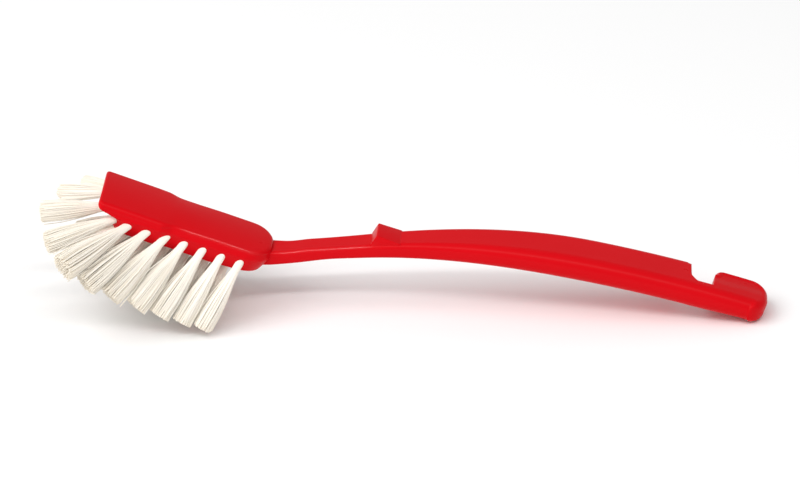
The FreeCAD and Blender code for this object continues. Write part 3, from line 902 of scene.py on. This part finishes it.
def red_plastic():
    """A red that drifts a little, a roughness of 0.24 to 0.36, and a coat on the ridges."""
    material, start = new_finish("red_plastic")
    place = start.node("ShaderNodeTexCoord", {}, {}, "Object")
    cloud = start.node("ShaderNodeTexNoise", {}, {"Vector": place, "Scale": 28, "Detail": 2})
    dull = start.node("ShaderNodeTexNoise", {}, {"Vector": place, "Scale": 190, "Detail": 4})
    peel = start.node("ShaderNodeTexNoise", {}, {"Vector": place, "Scale": 900, "Detail": 1})
    bump = start.node("ShaderNodeBump", {}, {"Strength": 0.12, "Distance": 0.0001, "Height": peel})
    ridge = start.node("ShaderNodeAttribute", {"attribute_name": "gloss"}, {}, "Fac")
    shine = 1 - dull
    surface = start.node("ShaderNodeBsdfPrincipled", {}, {
        "Base Color": cloud.mixed(RED_DEEP, RED_BRIGHT),
        "Roughness": 0.36 - 0.12 * shine,
        "Normal": bump,
        "IOR": 1.49,
        "Specular IOR Level": 0.06,
        "Coat Weight": ridge,
        "Coat Roughness": 0.16,
    })
    start.node("ShaderNodeOutputMaterial", {}, {"Surface": surface})
    return material


plastic = red_plastic()
cover(moulding, plastic)
print(plastic.name, "has", len(plastic.node_tree.nodes), "nodes")

# %% [markdown]
# ## Cream nylon
#
# Nylon filament is a warm off-white, so a bunch of it is pale where light gets in and beige in
# the gaps. Light could also pass through each filament, but that is slow to render, and an
# exported model loses it. So the finish is plain, and each filament has its own tone, kept in the
# second UV value. The first UV value runs from the hole to the cut tip, where a painted shade
# darkens the ends to a warmer beige.

# %% The cream nylon
# The third colour is a painted shade for the filaments' cut ends.
CREAM, WARM, TIP_PAINTED_SHADE = (0.99, 0.95, 0.875, 1), (0.97, 0.91, 0.80, 1), (0.95, 0.86, 0.72, 1)


def cream_nylon():
    """A tone for each filament, and a painted shade at the tip by half the ninth power of the run.
    """
    material, start = new_finish("cream_nylon")
    uv = start.node("ShaderNodeUVMap", {"uv_map": "along_and_tone"}, {})
    along = start.node("ShaderNodeSeparateXYZ", {}, {"Vector": uv}, "X")
    tone = start.node("ShaderNodeSeparateXYZ", {}, {"Vector": uv}, "Y")
    body = tone.mixed(CREAM, WARM)
    # How much painted shade the tip gets, rising towards the cut end.
    tip_shade_share = along ** 9.0 * 0.5
    surface = start.node("ShaderNodeBsdfPrincipled", {}, {
        "Base Color": tip_shade_share.mixed(body, TIP_PAINTED_SHADE),
        "Roughness": 0.38 + tone * 0.16,
        "IOR": 1.53,
        "Specular IOR Level": 0.3,
    })
    start.node("ShaderNodeOutputMaterial", {}, {"Surface": surface})
    return material


nylon = cream_nylon()
for bundle in bundles:
    cover(bundle, nylon)
print(nylon.name, "has", len(nylon.node_tree.nodes), "nodes, on", len(bundles), "bundles")

# %% [markdown]
# ## Drawn brass wire
#
# The wire sits deep in the holes, so little of it ever shows. It is rolled flat and bright, with
# fine scratches from the drawing, so a noise changes its roughness.

# %% The brass wire
BRASS_LIGHT, BRASS_DARK = (0.80, 0.62, 0.30, 1), (0.62, 0.45, 0.19, 1)


def brass_wire():
    """A metal between two brass tones, rougher where it is darker."""
    material, start = new_finish("brass_wire")
    place = start.node("ShaderNodeTexCoord", {}, {}, "Object")
    tarnish = start.node("ShaderNodeTexNoise", {}, {"Vector": place, "Scale": 1500, "Detail": 3})
    surface = start.node("ShaderNodeBsdfPrincipled", {}, {
        "Base Color": tarnish.mixed(BRASS_LIGHT, BRASS_DARK),
        "Metallic": 1.0,
        "Roughness": 0.25 + tarnish * 0.2,
    })
    start.node("ShaderNodeOutputMaterial", {}, {"Surface": surface})
    return material


brass = brass_wire()
cover(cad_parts["anchor_staples"], brass)
print(brass.name, "has", len(brass.node_tree.nodes), "nodes")

# %% [markdown]
# ## The camera
#
# The photograph was taken from well back, a little to the right of square and about 30 degrees
# above the table. The camera is set by those angles, a small roll, the point that it looks at and
# its field of view.

# %% Set the camera
AZIMUTH, ELEVATION, ROLL = (math.radians(angle) for angle in (4.452, 28.681, -1.612))
FIELD_OF_VIEW = math.radians(10.673)
CAMERA_DISTANCE = 1.67
LOOK_AT = Vector((-0.00075, 0.0, 0.02647))

back = Vector((math.sin(AZIMUTH) * math.cos(ELEVATION), -math.cos(AZIMUTH) * math.cos(ELEVATION),
               math.sin(ELEVATION)))
level = Vector((math.cos(AZIMUTH), math.sin(AZIMUTH), 0))
upright = back.cross(level)
right = level * math.cos(ROLL) + upright * math.sin(ROLL)
above = upright * math.cos(ROLL) - level * math.sin(ROLL)
camera = bpy.data.objects.new("camera", bpy.data.cameras.new("camera"))
camera.data.sensor_fit = "HORIZONTAL"
camera.data.lens = camera.data.sensor_width / 2 / math.tan(FIELD_OF_VIEW / 2)
camera.matrix_world = Matrix.Translation(LOOK_AT + back * CAMERA_DISTANCE) @ Matrix(
    (right, above, back)).transposed().to_4x4()
bpy.context.scene.collection.objects.link(camera)
bpy.context.scene.camera = camera
print("camera at", [round(value, 3) for value in camera.matrix_world.translation])

# %% [markdown]
# ## Floor and light
#
# The photograph has a plain white ground and soft light. A pale floor takes the shadow, a white
# world fills from all round, a large soft lamp lights the top, and a long strip lamp in front
# draws the thin bright lines along the ridges. The levels add up to about one, so a colour
# renders as written.

# %% Light the stage
FLOOR_HALF = 3.0
WORLD_LIGHT = 0.50


def pale_floor():
    """A flat white square under the brush, without gloss."""
    corners = FLOOR_HALF * np.array([(-1, -1, 0), (1, -1, 0), (1, 1, 0), (-1, 1, 0)], float)
    floor = add_piece("floor", corners, [(0, 1, 2, 3)])
    material, start = new_finish("pale_floor")
    surface = start.node("ShaderNodeBsdfPrincipled", {}, {
        "Base Color": (1, 1, 1, 1), "Roughness": 0.9, "Specular IOR Level": 0.0})
    start.node("ShaderNodeOutputMaterial", {}, {"Surface": surface})
    cover(floor, material)
    floor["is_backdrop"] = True


def soft_lamp(name, place, size, power):
    """An area lamp that faces the brush, of a width and a height."""
    lamp = bpy.data.objects.new(name, bpy.data.lights.new(name, "AREA"))
    lamp.data.shape = "RECTANGLE"
    lamp.data.size, lamp.data.size_y = size
    lamp.data.energy = power
    lamp.location = place
    lamp.rotation_euler = (LOOK_AT - Vector(place)).to_track_quat("-Z", "Y").to_euler()
    bpy.context.scene.collection.objects.link(lamp)


def white_world():
    """An even white light from all round."""
    world = bpy.data.worlds.new("studio")
    world.use_nodes = True
    world.node_tree.nodes.clear()
    start = Wire(world.node_tree)
    light = start.node("ShaderNodeBackground", {}, {"Color": (1, 1, 1, 1), "Strength": WORLD_LIGHT})
    start.node("ShaderNodeOutputWorld", {}, {"Surface": light})
    bpy.context.scene.world = world


pale_floor()
white_world()
soft_lamp("top_lamp", place=(-1.25, -0.75, 1.65), size=(1.6, 1.6), power=26.0)
soft_lamp("strip_lamp", place=(0.20, -1.25, 1.68), size=(1.9, 0.18), power=14.0)
bpy.context.scene.view_settings.view_transform = "Standard"
print("light: a world of", WORLD_LIGHT, "and", len(bpy.data.lights), "lamps")

# %% [markdown]
# ## Sizes, and the end
#
# The box of the dressed brush and the box of its solids are both kept and printed. The dressed
# brush has to stay close to the box of its solids.

# %% Keep both boxes and finish
boxes = {"cad": cad_box, "visual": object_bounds()}
for name, box in boxes.items():
    print(name, [round((high - low) / MM, 1) for low, high in zip(*box)], "mm")
